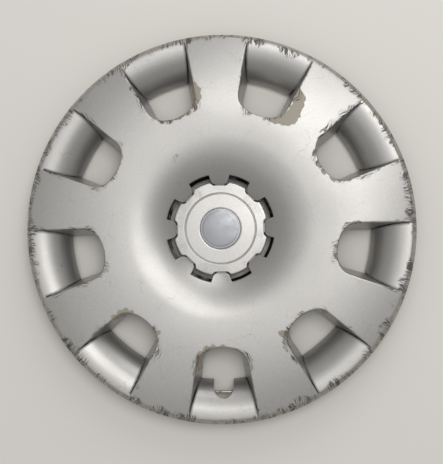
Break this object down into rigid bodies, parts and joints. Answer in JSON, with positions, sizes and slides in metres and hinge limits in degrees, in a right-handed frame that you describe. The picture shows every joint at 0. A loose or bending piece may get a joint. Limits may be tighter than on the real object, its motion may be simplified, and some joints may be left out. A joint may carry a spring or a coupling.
{
  "type": "wheel trim",
  "caption": "Silver plastic wheel trim with windows between broad spokes, a dished centre with a lobed cap, and snap legs with a wire ring behind.",
  "frame": {"origin": "on the wheel's axis, in the plane that the feet of the retaining legs stand on", "axes": "+Z along the wheel's axis, out of the face; -Y towards the window with the valve cut-out; +X completes the right-handed frame"},
  "size_m": [0.36, 0.36, 0.0315],
  "materials": {
    "silver_paint": "silver lacquer on moulded plastic, scratched and peeling",
    "cap_paint": "pale silver lacquer on moulded plastic",
    "blank_metal": "satin plated",
    "spring_wire": "zinc plated spring wire"
  },
  "bodies": {
    "root": {"cover": "silver_paint", "centre_cap": "cap_paint", "badge_blank": "blank_metal", "retaining_ring": "spring_wire"}
  },
  "joints": []
}
